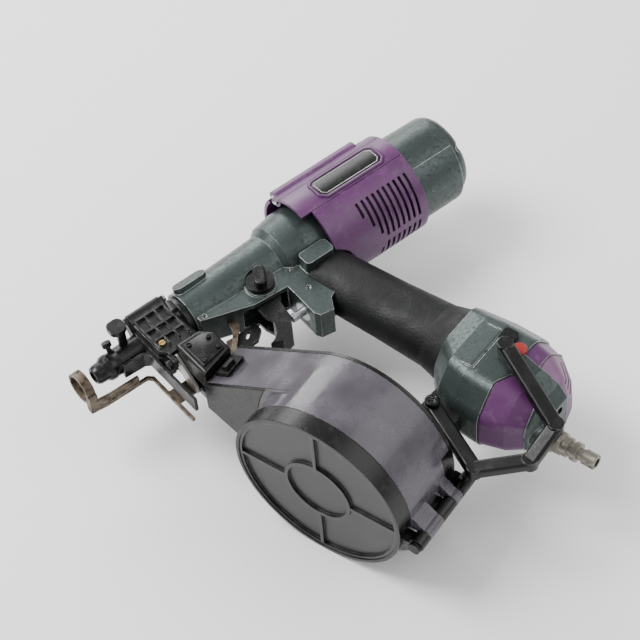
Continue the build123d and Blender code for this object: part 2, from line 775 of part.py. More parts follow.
with BuildPart() as nose_body:
    with BuildSketch(side(-9.4)):
        with BuildLine():
            Polyline((50, 9), (50, -22), (58, -26), (82, -26), (82, -17), (80, 9), close=True)
        make_face()
    extrude(amount=17)
    with BuildSketch(across(80)):
        Circle(9)
    extrude(amount=3)
    with BuildSketch(across(82)):
        Circle(16.5)
    extrude(amount=BARREL_START - 82)
    # lugs of the door's hinge pin
    for x in (48.9, 77.9):
        with BuildSketch(across(x)):
            with BuildLine():
                Polyline((6, 4), (6, 7.6), (DOOR_HINGE[0], 15.4), (18.2, 12), (DOOR_HINGE[0], 6), (9, 0), close=True)
            make_face()
        extrude(amount=2.3)
    with BuildSketch(across(40)):
        Circle(4.2)
    extrude(amount=60, mode=Mode.SUBTRACT)
    # way in for the fasteners
    with BuildSketch(side(-4)):
        with Locations((67, -14)):
            Rectangle(32, 28)
    extrude(amount=8, mode=Mode.SUBTRACT)
    with BuildSketch(across(48)):
        with Locations(DOOR_HINGE):
            Circle(1.65)
    extrude(amount=40, mode=Mode.SUBTRACT)
save(nose_body, "nose_body")

with BuildPart() as nose_tip:
    with BuildSketch(side()):
        with BuildLine():
            Polyline((48.8, 4.3), (48.8, 9.3), (31, 9.3), (28, 8.8), (26.5, 8.8), (24, 9.3), (21, 9.0),
                     (18.5, 7.2), (14, 7.0), (11.6, 6.0), (11, 4.3), (48.8, 4.3))
        make_face()
    revolve(axis=DRIVE_AXIS)
    # flat seat of the front plate
    with BuildSketch(side(-12)):
        with Locations((38, -10.5)):
            Rectangle(24, 4)
    extrude(amount=24, mode=Mode.SUBTRACT)
save(nose_tip, "nose_tip")

with BuildPart() as lock_tab:
    with BuildSketch(side(22)):
        with Locations((38, 6)):
            RectangleRounded(12, 12, 4.5)
    extrude(amount=3.6)
    with BuildSketch(side(6)):
        with Locations((40, 5)):
            RectangleRounded(6, 5, 2)
    extrude(amount=17)
    add(nose_tip.part, mode=Mode.SUBTRACT)
save(lock_tab, "lock_tab")

with BuildPart() as tip_screw:
    with BuildSketch(Plane(origin=tool_point(29, 3.1, 5.1), x_dir=(1, 0, 0), z_dir=(0, 0.51, 0.86))):
        Circle(1.8)
    extrude(amount=9)
    with BuildSketch(Plane(origin=tool_point(29, 6.6, 11.1), x_dir=(1, 0, 0), z_dir=(0, 0.51, 0.86))):
        Circle(3.3)
    extrude(amount=3.2)
    add(nose_tip.part, mode=Mode.SUBTRACT)
save(tip_screw, "tip_screw")

with BuildPart() as front_plate:
    with BuildSketch(side(-5.8)):
        with BuildLine():
            Polyline((29, -8.8), (45.5, -9.6), (49.8, -13), (49.8, -64), (47.6, -64),
                     (47.6, -14), (44.6, -11.8), (29, -11), close=True)
        make_face()
    extrude(amount=12)
save(front_plate, "front_plate")

with BuildPart() as guide_plate:
    with BuildSketch(across(58)):
        with BuildLine():
            Polyline((-28.6, 11.5), (-31, 12.5), (-51, -2), (-51, -9), (-40, -9), (-28.6, 3), close=True)
        make_face()
    extrude(amount=2)
save(guide_plate, "guide_plate")

LATCH_PIVOT = (-31.0, 7.5)
with BuildPart() as nose_door:
    with BuildSketch(side(8.2)):
        with BuildLine():
            Polyline((DOOR_X[0], 10), (DOOR_X[1], 10), (DOOR_X[1], -22), (70, -27.5), (56, -27.5),
                     (DOOR_X[0], -20), close=True)
        make_face()
    extrude(amount=5)
    # stiffening ribs
    with BuildSketch(side(13)):
        for x in (53, 61, 69, 76.5):
            with Locations((x, -6)):
                Rectangle(1.3, 30)
        for y in (8.5, -4, -14):
            with Locations((64.5, y)):
                Rectangle(25, 1.3)
    extrude(amount=2.4)
    with BuildSketch(across(DOOR_X[0])):
        with Locations(DOOR_HINGE):
            Circle(3.4)
        with Locations((11.5, 11.6)):
            Rectangle(6, 5)
    extrude(amount=DOOR_X[1] - DOOR_X[0])
    # ear that carries the latch
    with BuildSketch(across(54)):
        with Locations((-30.5, 8.6)):
            Rectangle(8, 6.8)
    extrude(amount=3)
    with BuildSketch(across(50.2)):
        with Locations(LATCH_PIVOT):
            Circle(1.6)
    extrude(amount=5)
    with BuildSketch(across(50)):
        with Locations(DOOR_HINGE):
            Circle(1.65)
    extrude(amount=30, mode=Mode.SUBTRACT)
save(nose_door, "nose_door")

with BuildPart() as door_pin:
    with BuildSketch(across(46.6)):
        with Locations(DOOR_HINGE):
            Circle(1.58)
    extrude(amount=35)
    for x in (46.6, 80.3):
        with BuildSketch(across(x)):
            with Locations(DOOR_HINGE):
                Circle(2.6)
        extrude(amount=1.6)
save(door_pin, "door_pin")

with BuildPart() as door_screw:
    with BuildSketch(side(13.3)):
        with Locations((57, -17.5)):
            Circle(2.2)
    extrude(amount=1.6)
    with BuildSketch(side(14.2)):
        with Locations((57, -17.5)):
            Rectangle(5, 0.7)
    extrude(amount=1, mode=Mode.SUBTRACT)
save(door_screw, "door_screw")

with BuildPart() as door_latch:
    with BuildSketch(across(50.5)):
        with Locations((-34.2, 5.2)):
            Rectangle(5, 3.4, rotation=35)
        with Locations(LATCH_PIVOT):
            Circle(3.6)
            Circle(1.68, mode=Mode.SUBTRACT)
    extrude(amount=3.2)
save(door_latch, "door_latch")

# ---- contact arm ----
RING_Y = -1.6
ARM_Z = -15.2
with BuildPart() as contact_arm:
    with BuildSketch(across(-2, RING_Y)):
        Circle(11.0)
    extrude(amount=6.5)
    with BuildSketch(across(-2)):
        with Locations((-11.5, -6.5)):
            Rectangle(5, 14)
    extrude(amount=6.5)
    # bar beside the tip
    with BuildSketch(side(ARM_Z)):
        with BuildLine():
            Polyline((-2, -9), (4.5, -11), (14, -13.2), (43, -13.8), (46.6, -17.4), (46.6, -34), (98.5, -34),
                     (98.5, -46), (46.6, -46), (46.6, -63.2), (44.2, -63.2), (44.2, -18.5), (42, -16),
                     (10, -15.6), (-2, -14), close=True)
        make_face()
    extrude(amount=2.4)
    with BuildSketch(side(ARM_Z)):
        with BuildLine():
            Polyline((-2, -11.2), (14, -13.2), (36, -13.6), (36, -15.8), (10, -15.4), (-2, -13.6), close=True)
        make_face()
    extrude(amount=9)
    # upright that joins the bar to the push plate
    with BuildSketch(side(ARM_Z)):
        with Locations((97, -40)):
            Rectangle(3, 12)
    extrude(amount=14.2)
    with BuildSketch(across(-3, RING_Y)):
        Circle(9.3)
    extrude(amount=9, mode=Mode.SUBTRACT)
save(contact_arm, "contact_arm")

with BuildPart() as push_plate:
    with BuildSketch(side(-5)):
        with BuildLine():
            Polyline((98.5, -34.2), (120, -34.2), (120, -41), (113, -46.6), (104, -47), (98.5, -44), close=True)
        make_face()
        with Locations((110, -39)):
            SlotOverall(7, 2.6, rotation=40, mode=Mode.SUBTRACT)
    extrude(amount=3.6)
save(push_plate, "push_plate")

contact_spring = coil_spring((87.1, -41, -7.4), (1, 0, 0), 2.4, 0.45, 6, 7.8)
save(contact_spring, "contact_spring")

with BuildPart() as magazine_stay:
    with BuildSketch(side(-0.8)):
        with BuildLine():
            Polyline((86.8, -51.5), (91.5, -51), (109.5, -31), (109.5, -26.6), (104.5, -25), (102.5, -33), close=True)
        make_face()
    extrude(amount=3.6)
    add(main_housing.part, mode=Mode.SUBTRACT)
save(magazine_stay, "magazine_stay")

# ---- feeder ----
with BuildPart() as feed_housing:
    with BuildSketch(side(-9.4)):
        with BuildLine():
            Polyline((60.3, -26.1), (86.5, -26.1), (86.5, -53.4), (60.3, -61.2), close=True)
        make_face()
    extrude(amount=17.3)
    with BuildSketch(side(7.9)):
        with BuildLine():
            Polyline((60.3, -28.4), (79, -28.4), (86.5, -36), (86.5, -53.4), (60.3, -61.2), close=True)
        make_face()
    extrude(amount=12.1)
    fillet(feed_housing.faces().sort_by(Axis.Z)[-1].edges(), 2.2)
    with BuildSketch(side(-4)):
        with Locations((70, -42)):
            Rectangle(29, 50)
    extrude(amount=8, mode=Mode.SUBTRACT)
    with BuildSketch(side(3)):
        with Locations((FEED_X, -36)):
            Rectangle(4, 24)
    extrude(amount=7, mode=Mode.SUBTRACT)
    with BuildSketch(Plane(origin=tool_point(FEED_X, -52, FEED_Z), x_dir=(1, 0, 0), z_dir=(0, 1, 0))):
        Circle(5.0)
    extrude(amount=30, mode=Mode.SUBTRACT)
save(feed_housing, "feed_housing")

with BuildPart() as feed_piston:
    with BuildSketch(Plane(origin=tool_point(FEED_X, -40, FEED_Z), x_dir=(1, 0, 0), z_dir=(0, 1, 0))):
        Circle(4.93)
    extrude(amount=11)
save(feed_piston, "feed_piston")

with BuildPart() as feed_pawl:
    with BuildSketch(side(4.4)):
        with Locations((FEED_X, -28.3)):
            Rectangle(3.2, 1.4)
    extrude(amount=9)
    with BuildSketch(side(4.4)):
        with Locations((FEED_X, -27.7)):
            Rectangle(3.2, 2.6)
    extrude(amount=3)
save(feed_pawl, "feed_pawl")

feed_spring = coil_spring((FEED_X, -51.3, FEED_Z), (0, 1, 0), 3.4, 0.6, 5, 10.6)
save(feed_spring, "feed_spring")

# ======================= magazine =======================
SPLIT_Z = -9.0
CHANNEL_WALL_START = 26.7
REAR_PLATE_START = 60.6
NOTCH_START = 52.0
NOTCH_TOP = 18.0
DISC_END = 4.6
DISC_RIM_R = 58.0
DISC_RING_R = 25.0
DISC_RIB = 2.4
SWING_R = hypot(HINGE_V, HINGE_Z) + DRUM_R


def drum_round(start, length, radius):
    """Private round solid on the drum's axis."""
    with BuildPart() as body:
        with BuildSketch(drum(start)):
            Circle(radius)
        extrude(amount=length)
    return body.part


def hinge_round(start, length, radius):
    """Private round solid on the cover's hinge line."""
    with BuildPart() as body:
        with BuildSketch(drum(start)):
            with Locations((HINGE_V, HINGE_Z)):
                Circle(radius)
        extrude(amount=length)
    return body.part


def drum_hull(start, length, inset):
    """Private solid of the round drum drawn out to the feed channel."""
    with BuildPart() as body:
        with BuildSketch(drum(start)):
            Circle(DRUM_R - inset)
            with Locations((CHANNEL_END - 3, 0)):
                Rectangle(6, 2 * (CHANNEL_HALF - inset))
            make_hull()
        extrude(amount=length)
    return body.part


def drum_block(start, length, v0, v1, z0, z1):
    """Private block set along the drum's axis."""
    with BuildPart() as body:
        with BuildSketch(drum(start)):
            with Locations(((v0 + v1) / 2, (z0 + z1) / 2)):
                Rectangle(v1 - v0, z1 - z0)
        extrude(amount=length)
    return body.part


def knuckle(start, length, wing):
    """Private hinge knuckle with the wing that joins it to the drum's wall."""
    with BuildPart() as body:
        with BuildSketch(drum(start)):
            with Locations((HINGE_V, HINGE_Z)):
                Circle(KNUCKLE_R)
            with BuildLine():
                Polyline(*wing, close=True)
            make_face()
            Circle(DRUM_R - 1, mode=Mode.SUBTRACT)
            with Locations((HINGE_V, HINGE_Z)):
                Circle(HINGE_PIN_R + 0.05, mode=Mode.SUBTRACT)
        extrude(amount=length)
    return body.part


CASE_WING = [(-71, -13.9), (-71, -9.5), (-59, -9.5), (-56, -27)]
COVER_WING = [(-71, -8.5), (-71, -4.1), (-60.5, 4), (-59, 4), (-59, -8.5)]
DRUM_WALL_SOLID = drum_round(BAND_DEPTH, REAR_PLATE_START - BAND_DEPTH, DRUM_R)
DRUM_WALL_SOLID += drum_hull(CHANNEL_WALL_START, REAR_PLATE_START - CHANNEL_WALL_START, 0)
DRUM_WALL_SOLID -= drum_round(BAND_DEPTH, REAR_PLATE_START - BAND_DEPTH, DRUM_R - DRUM_WALL)
DRUM_WALL_SOLID -= drum_hull(CHANNEL_WALL_START, REAR_PLATE_START - CHANNEL_WALL_START, DRUM_WALL)
CHANNEL_MOUTH = drum_block(27.2, 33, CHANNEL_END - 8, CHANNEL_END + 4, -7.5, 7.5)

with BuildPart() as magazine_case:
    # front band
    add(drum_round(0, BAND_DEPTH, DRUM_R))
    add(drum_round(0, BAND_DEPTH, DRUM_R - DRUM_WALL), mode=Mode.SUBTRACT)
    # lower half of the wall
    add(DRUM_WALL_SOLID & drum_block(BAND_DEPTH, 50, -80, 120, -80, SPLIT_Z))
    # raised corner of the wall behind the hinge
    corner = drum_block(NOTCH_START + 0.3, REAR_PLATE_START - NOTCH_START - 0.3, -80, 0, SPLIT_Z - 1, NOTCH_TOP)
    add(DRUM_WALL_SOLID & corner)
    # front wall of the feed channel
    front_wall = drum_hull(CHANNEL_FRONT, 2.4, 0) - drum_round(CHANNEL_FRONT, 2.4, DRUM_R + 0.3)
    add(front_wall & drum_block(CHANNEL_FRONT, 2.4, -80, 120, -80, SPLIT_Z))
    add(front_wall - hinge_round(CHANNEL_FRONT, 2.4, SWING_R + 0.4))
    lip = drum_hull(CHANNEL_FRONT, 2.4, 0) & drum_block(CHANNEL_FRONT, 2.4, -10, 120, -40, SPLIT_Z)
    add(lip - drum_round(CHANNEL_FRONT, 2.4, DRUM_R - 1))
    skirt = drum_hull(CHANNEL_FRONT, 3, 0) - drum_hull(CHANNEL_FRONT, 3, DRUM_WALL)
    add(skirt & drum_block(CHANNEL_FRONT, 3, 20, 120, -60, SPLIT_Z))
    # rear plate
    add(drum_hull(REAR_PLATE_START, DRUM_DEPTH - REAR_PLATE_START, 0))
    add(CHANNEL_MOUTH, mode=Mode.SUBTRACT)
    # hinge knuckles
    add(knuckle(DISC_END + 0.3, 8.9, CASE_WING))
    add(knuckle(29.9, 14.2, CASE_WING))
    add(knuckle(NOTCH_START + 0.3, 14, CASE_WING))
save(magazine_case, "magazine_case")

with BuildPart() as magazine_cover:
    add(DRUM_WALL_SOLID & drum_block(BAND_DEPTH + 0.3, REAR_PLATE_START - BAND_DEPTH - 0.6, -80, 120, SPLIT_Z + 0.3, 80))
    add(drum_block(NOTCH_START, 10, -80, 0, -20, NOTCH_TOP + 0.3), mode=Mode.SUBTRACT)
    add(drum_hull(CHANNEL_FRONT - 0.3, 3.0, -1) - drum_round(CHANNEL_FRONT - 0.3, 3.0, DRUM_R), mode=Mode.SUBTRACT)
    flange = drum_hull(CHANNEL_FRONT, 2.4, 0) & hinge_round(CHANNEL_FRONT, 2.4, SWING_R)
    flange -= drum_round(CHANNEL_FRONT, 2.4, DRUM_R - 1)
    add(flange & drum_block(CHANNEL_FRONT, 2.4, 0, 120, SPLIT_Z + 0.3, 80))
    add(CHANNEL_MOUTH, mode=Mode.SUBTRACT)
    add(knuckle(14.1, 15.5, COVER_WING))
    add(knuckle(44.4, 7.3, COVER_WING))
save(magazine_cover, "magazine_cover")

with BuildPart() as magazine_disc:
    with BuildSketch(drum(2.6)):
        Circle(DRUM_R - DRUM_WALL - 0.05)
    extrude(amount=DISC_END - 2.6)
    # rim, inner ring and the ribs between them
    with BuildSketch(drum(0.6)):
        Circle(DRUM_R - DRUM_WALL - 0.05)
        Circle(DISC_RIM_R, mode=Mode.SUBTRACT)
        Circle(DISC_RING_R)
        Circle(DISC_RING_R - DISC_RIB, mode=Mode.SUBTRACT)
        with PolarLocations((DISC_RING_R + DISC_RIM_R) / 2 - 0.6, 4):
            Rectangle(DISC_RIM_R - DISC_RING_R + 2, DISC_RIB)
    extrude(amount=2.1)
save(magazine_disc, "magazine_disc")

with BuildPart() as cover_pin:
    with BuildSketch(drum(1.5)):
        with Locations((HINGE_V, HINGE_Z)):
            Circle(HINGE_PIN_R)
    extrude(amount=66)
    with BuildSketch(drum(1.5)):
        with Locations((HINGE_V, HINGE_Z)):
            Circle(4.2)
    extrude(amount=3)
save(cover_pin, "cover_pin")

with BuildPart() as cover_latch:
    with BuildSketch(drum(33)):
        with BuildLine():
            Polyline((90, 20.4), (101, 14), (101, 17.6), (90, 24), close=True)
        make_face()
    extrude(amount=17)
    with BuildSketch(drum(36)):
        with BuildLine():
            Polyline((94, 21), (97.5, 19), (97.5, 22.5), (94, 24.5), close=True)
        make_face()
    extrude(amount=9)
save(cover_latch, "cover_latch")

POST_R = 12.0
with BuildPart() as coil_post:
    with BuildSketch(drum(12)):
        Circle(POST_R)
    extrude(amount=REAR_PLATE_START - 12)
save(coil_post, "coil_post")

with BuildPart() as coil_tray:
    with BuildSketch(drum(40)):
        Circle(50)
        Circle(POST_R + 0.08, mode=Mode.SUBTRACT)
    extrude(amount=2.5)
    with BuildSketch(drum(42.5)):
        Circle(POST_R + 3)
        Circle(POST_R + 0.08, mode=Mode.SUBTRACT)
    extrude(amount=6)
save(coil_tray, "coil_tray")
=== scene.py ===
"""Looks of the coil roofing nailer: finishes, small fittings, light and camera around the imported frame."""

import json
from math import cos, hypot, pi, sin

import bmesh
import bpy
from mathutils import Matrix, Vector


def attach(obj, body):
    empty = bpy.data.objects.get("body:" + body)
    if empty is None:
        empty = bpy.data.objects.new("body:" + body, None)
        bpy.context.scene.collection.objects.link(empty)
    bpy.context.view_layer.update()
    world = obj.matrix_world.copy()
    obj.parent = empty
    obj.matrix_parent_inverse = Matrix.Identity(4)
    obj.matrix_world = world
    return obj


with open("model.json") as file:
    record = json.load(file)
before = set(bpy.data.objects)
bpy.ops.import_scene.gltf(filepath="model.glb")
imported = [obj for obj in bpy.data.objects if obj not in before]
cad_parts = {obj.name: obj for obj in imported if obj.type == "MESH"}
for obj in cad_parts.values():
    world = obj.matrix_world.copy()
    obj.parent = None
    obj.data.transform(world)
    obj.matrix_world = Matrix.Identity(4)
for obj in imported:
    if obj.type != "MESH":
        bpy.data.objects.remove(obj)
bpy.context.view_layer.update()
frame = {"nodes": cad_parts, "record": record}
NODES = frame["nodes"]
MM = 0.001
TOOL_ORIGIN = Vector((-157.5, 116.04, 62.5))
SHROUD_R = 37.0


# ---------------------------------------------------------------- shader helpers


def colour(hex_code):
    """Linear colour of an sRGB hex code."""
    parts = [int(hex_code[i:i + 2], 16) / 255 for i in (1, 3, 5)]
    return tuple(c / 12.92 if c <= 0.04045 else ((c + 0.055) / 1.055) ** 2.4 for c in parts) + (1.0,)


def add(tree, kind, inputs=None, out=0, **settings):
    """Adds one node; its inputs take sockets, numbers or hex codes. Returns its output number out."""
    node = tree.nodes.new(kind)
    for name, value in settings.items():
        setattr(node, name, value)
    for key, value in (inputs or {}).items():
        if isinstance(value, bpy.types.NodeSocket):
            tree.links.new(value, node.inputs[key])
        else:
            node.inputs[key].default_value = colour(value) if isinstance(value, str) else value
    return node.outputs[out]


def surface(name, base, roughness, metallic=0.0, **more):
    """A material with one Principled shader: returns the material, its node tree and the shader."""
    material = bpy.data.materials.new(name)
    material.use_nodes = True
    tree = material.node_tree
    shader = tree.nodes["Principled BSDF"]
    shader.inputs["Base Color"].default_value = colour(base)
    shader.inputs["Roughness"].default_value = roughness
    shader.inputs["Metallic"].default_value = metallic
    for key, value in more.items():
        shader.inputs[key.replace("_", " ")].default_value = value
    return material, tree, shader


def coordinates(tree, stretch=(1, 1, 1)):
    """Object coordinates in metres, stretched along the axes."""
    place = add(tree, "ShaderNodeTexCoord", out="Object")
    return add(tree, "ShaderNodeMapping", {"Vector": place, "Scale": stretch})


def patches(tree, coords, size_mm, low, high, detail=5.0):
    """Mask of irregular patches about size_mm across: 0 where the noise is below low, 1 above high."""
    field = add(tree, "ShaderNodeTexNoise", {"Vector": coords, "Scale": 1000 / size_mm, "Detail": detail,
                                             "Roughness": 0.6})
    return add(tree, "ShaderNodeMapRange", {"Value": field, "From Min": low, "From Max": high})


def rubbed_edges(tree, coords, width_mm, patch_mm, amount):
    """Mask of the edges that handling has rubbed, broken up by patches."""
    bevel = add(tree, "ShaderNodeBevel", {"Radius": width_mm * MM}, samples=6)
    flat = add(tree, "ShaderNodeNewGeometry", out="Normal")
    dot = add(tree, "ShaderNodeVectorMath", {0: bevel, 1: flat}, out="Value", operation="DOT_PRODUCT")
    sharp = add(tree, "ShaderNodeMapRange", {"Value": dot, "From Min": 0.985, "From Max": 0.86})
    broken = patches(tree, coords, patch_mm, 0.62 - amount * 0.3, 0.72 - amount * 0.3)
    return add(tree, "ShaderNodeMath", {0: sharp, 1: broken}, operation="MULTIPLY")


def coats(tree, shader, base, *layers):
    """Base colour under layers of (mask, strength, hex code), each laid over the one before."""
    tone = base
    for mask, strength, tint in layers:
        share = add(tree, "ShaderNodeMath", {0: mask, 1: strength}, operation="MULTIPLY")
        tone = add(tree, "ShaderNodeMix", {0: share, 6: tone, 7: tint}, out=2, data_type="RGBA")
    tree.links.new(tone, shader.inputs["Base Color"])


def gloss(tree, shader, low, high, mask):
    """Roughness that goes from low to high with a mask."""
    value = add(tree, "ShaderNodeMapRange", {"Value": mask, "To Min": low, "To Max": high})
    tree.links.new(value, shader.inputs["Roughness"])


def relief(tree, shader, height, depth_mm, round_mm):
    """Bump of depth_mm on top of edges softened by round_mm."""
    soft = add(tree, "ShaderNodeBevel", {"Radius": round_mm * MM}, samples=6)
    bump = add(tree, "ShaderNodeBump", {"Height": height, "Normal": soft, "Distance": depth_mm * MM})
    tree.links.new(bump, shader.inputs["Normal"])


# ---------------------------------------------------------------- finishes


def cast_alloy(name, base, lit, dark, bare):
    """Sand-cast alloy under a worn dark coat: fine grit, grime in patches, bared edges and scratches."""
    material, tree, shader = surface(name, base, 0.4, 0.55)
    coords = coordinates(tree)
    grit = patches(tree, coords, 0.9, 0.3, 0.7, 3)
    clouds = patches(tree, coords, 30, 0.30, 0.72)
    grime = patches(tree, coords, 2.4, 0.50, 0.70, 9)
    specks = patches(tree, coords, 0.8, 0.66, 0.72, 6)
    scratch = patches(tree, coordinates(tree, (0.25, 3.0, 1.5)), 2.0, 0.66, 0.70, 7)
    edges = rubbed_edges(tree, coords, 0.9, 4, 0.9)
    coats(tree, shader, base, (clouds, 0.6, lit), (grime, 0.5, dark), (specks, 0.5, dark),
          (scratch, 0.4, bare), (edges, 0.9, bare))
    gloss(tree, shader, 0.30, 0.56, grime)
    relief(tree, shader, grit, 0.06, 0.5)
    return material


def moulded_plastic(name, base, lit, scuff, rough=0.46, grain_mm=0.5, depth_mm=0.03, worn=0.3, shine=0.5):
    """Injection-moulded plastic with a spark-eroded grain, handling shine and pale scuffs on its edges."""
    material, tree, shader = surface(name, base, rough, 0.0, IOR=1.5, Specular_IOR_Level=shine)
    coords = coordinates(tree)
    grain = patches(tree, coords, grain_mm, 0.3, 0.7, 2)
    tone = patches(tree, coords, 26, 0.35, 0.68, 4)
    dust = patches(tree, coords, 6, 0.52, 0.78, 8)
    scratch = patches(tree, coordinates(tree, (3.0, 0.3, 1.8)), 2.4, 0.68, 0.72, 7)
    edges = rubbed_edges(tree, coords, 0.6, 5, worn)
    coats(tree, shader, base, (tone, 0.8, lit), (dust, 0.16, scuff),
          (scratch, 0.2, scuff), (edges, 0.5, scuff))
    gloss(tree, shader, rough - 0.12, rough + 0.12, dust)
    relief(tree, shader, grain, depth_mm, 0.5)
    return material


def grip_rubber():
    """Moulded rubber with a leather-like skin, shinier where hands have polished it."""
    material, tree, shader = surface("moulded_rubber_black", "#101112", 0.6, IOR=1.5,
                                     Specular_IOR_Level=0.3)
    coords = coordinates(tree)
    cells = add(tree, "ShaderNodeTexVoronoi", {"Vector": coords, "Scale": 1000 / 1.6})
    fine = patches(tree, coords, 0.7, 0.3, 0.7, 3)
    pores = add(tree, "ShaderNodeMath", {0: fine, 1: 0.4, 2: cells}, operation="MULTIPLY_ADD")
    polish = patches(tree, coords, 24, 0.40, 0.66, 4)
    dust = patches(tree, coords, 5, 0.55, 0.8, 8)
    coats(tree, shader, "#070808", (polish, 1.0, "#0f1011"), (dust, 0.12, "#3a3a38"))
    gloss(tree, shader, 0.62, 0.42, polish)
    relief(tree, shader, pores, 0.14, 0.4)
    return material


def painted_steel(name, base, bare, worn):
    """Black paint over steel, rubbed through to the metal along its edges."""
    material, tree, shader = surface(name, base, 0.38, 0.0, IOR=1.5, Specular_IOR_Level=0.35)
    coords = coordinates(tree)
    grit = patches(tree, coords, 0.7, 0.3, 0.7, 3)
    dust = patches(tree, coords, 8, 0.48, 0.75, 8)
    chips = patches(tree, coords, 1.6, 0.70, 0.73, 6)
    edges = rubbed_edges(tree, coords, 0.7, 4, worn)
    bared = add(tree, "ShaderNodeMath", {0: edges, 1: chips}, operation="MAXIMUM")
    coats(tree, shader, base, (dust, 0.18, "#302e2c"), (bared, 0.9, bare))
    tree.links.new(bared, shader.inputs["Metallic"])
    gloss(tree, shader, 0.30, 0.55, dust)
    relief(tree, shader, grit, 0.035, 0.45)
    return material


def bare_steel(name, base, stain, rough, grain=(1, 1, 1), stained=0.5):
    """Ground or rolled steel: fine drawn lines, stains, dulled patches and bright rubbed edges."""
    material, tree, shader = surface(name, base, rough, 0.9)
    coords = coordinates(tree)
    lines = patches(tree, coordinates(tree, grain), 0.8, 0.3, 0.7, 4)
    stains = patches(tree, coords, 5, 0.62 - 0.2 * stained, 0.76 - 0.1 * stained, 8)
    edges = rubbed_edges(tree, coords, 0.5, 4, 0.7)
    coats(tree, shader, base, (lines, 0.15, stain), (stains, 0.8, stain), (edges, 0.4, "#d2d0cc"))
    gloss(tree, shader, rough, rough + 0.26, stains)
    relief(tree, shader, lines, 0.03, 0.3)
    return material


def smoky_polycarbonate():
    """Clear moulded polycarbonate with a smoke tint, hazed by fine scratches."""
    material, tree, shader = surface("smoky_polycarbonate", "#8f8894", 0.14, IOR=1.45,
                                     Transmission_Weight=0.62)
    coords = coordinates(tree)
    haze = patches(tree, coords, 22, 0.35, 0.7)
    scratch = patches(tree, coordinates(tree, (0.4, 2.6, 1.0)), 2.2, 0.60, 0.70, 7)
    edges = rubbed_edges(tree, coords, 0.5, 6, 0.4)
    coats(tree, shader, "#69636c", (haze, 0.8, "#8a838f"),
          (scratch, 0.25, "#b3aeb8"), (edges, 0.4, "#c4c0c8"))
    gloss(tree, shader, 0.12, 0.34, haze)
    relief(tree, shader, haze, 0.05, 0.5)
    return material


FINISHES = {
    "casting": cast_alloy("cast_aluminium_worn", "#38413f", "#4d5856", "#151817", "#b4b8b5"),
    "shroud": moulded_plastic("moulded_abs_purple", "#4d2250", "#5c2c5e", "#a695a8"),
    "grille": moulded_plastic("moulded_abs_mauve", "#6b4668", "#7d5879", "#b9a6b6", 0.5),
    "plate": moulded_plastic("label_film_black", "#08080a", "#0d0d0f", "#4a4a4e", 0.42, grain_mm=0.4,
                             depth_mm=0.01, worn=0.2, shine=0.3),
    "grip": grip_rubber(),
    "black_steel": painted_steel("painted_steel_black", "#040405", "#7b7a76", 0.55),
    "black_plastic": moulded_plastic("glass_filled_nylon_black", "#060607", "#0b0b0c", "#4c4c4c", 0.38,
                                     grain_mm=0.6, shine=0.35),
    "disc": moulded_plastic("moulded_nylon_grey", "#131315", "#1d1d1f", "#77776f", 0.42, grain_mm=0.7,
                            depth_mm=0.04, worn=0.5, shine=0.45),
    "smoky": smoky_polycarbonate(),
    "worn_steel": bare_steel("blackened_steel_worn", "#6b5f52", "#1f1c19", 0.42, (1, 4, 4), 0.9),
    "bright_steel": bare_steel("ground_steel", "#b4b3b0", "#6c6762", 0.28, (1, 5, 1), 0.4),
    "bolt_steel": bare_steel("black_oxide_steel", "#262628", "#101011", 0.38),
    "plug": bare_steel("nickel_plated_steel", "#8d887e", "#4f4a42", 0.3, (5, 1, 1), 0.5),
    "gold_screw": bare_steel("yellow_zinc_plate", "#b99b53", "#6b5428", 0.35),
    "button": moulded_plastic("moulded_acetal_red", "#8f2422", "#a02c28", "#c98a80", 0.3, grain_mm=0.6,
                              depth_mm=0.01, worn=0.4),
    "inner_alloy": bare_steel("turned_aluminium", "#b9bcbe", "#8b8e90", 0.3, (6, 1, 1), 0.2),
    "inner_rubber": moulded_plastic("bumper_elastomer", "#161616", "#202020", "#555555", 0.65, grain_mm=0.8),
    "bush": bare_steel("turned_steel", "#8a8a8a", "#5a5a5a", 0.3),
    "spring": bare_steel("spring_steel", "#8f8f90", "#4a4846", 0.35, (1, 1, 1), 0.6),
    "inner_plastic": moulded_plastic("moulded_nylon_black", "#161618", "#202022", "#66666a", 0.45,
                                     grain_mm=0.6),
}

for part in frame["record"]["subparts"]:
    mesh = NODES[part["node"]].data
    mesh.materials.clear()
    mesh.materials.append(FINISHES[part["material_slot"]])


# ---------------------------------------------------------------- small fittings



def tool(x, y, z):
    """Frame point of a point in millimetres from the nose on the drive axis."""
    return (TOOL_ORIGIN + Vector((x, y, z))) * MM


def finish_piece(bm, name, slot, body, bevel_mm):
    """Rounds the sharp edges of a closed shape, gives it its finish and lets it move with its body."""
    sharp = [e for e in bm.edges if len(e.link_faces) == 2 and e.calc_face_angle(0) > 0.6]
    bmesh.ops.bevel(bm, geom=sharp, offset=bevel_mm * MM, offset_type="OFFSET", affect="EDGES", segments=3,
                    profile=0.5, material=-1, clamp_overlap=True)
    bmesh.ops.recalc_face_normals(bm, faces=bm.faces)
    mesh = bpy.data.meshes.new(name)
    bm.to_mesh(mesh)
    bm.free()
    mesh.materials.append(FINISHES[slot])
    mesh.shade_smooth()
    piece = bpy.data.objects.new(name, mesh)
    bpy.context.scene.collection.objects.link(piece)
    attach(piece, body)


def slab(name, outline, z0, z1, slot, body, bevel_mm=0.5):
    """Plate with an outline in the side view, between two heights."""
    bm = bmesh.new()
    face = bm.faces.new([bm.verts.new(tool(x, y, z0)) for x, y in outline])
    grown = bmesh.ops.extrude_face_region(bm, geom=[face], use_keep_orig=True)
    tops = [v for v in grown["geom"] if isinstance(v, bmesh.types.BMVert)]
    bmesh.ops.translate(bm, verts=tops, vec=(0, 0, (z1 - z0) * MM))
    finish_piece(bm, name, slot, body, bevel_mm)


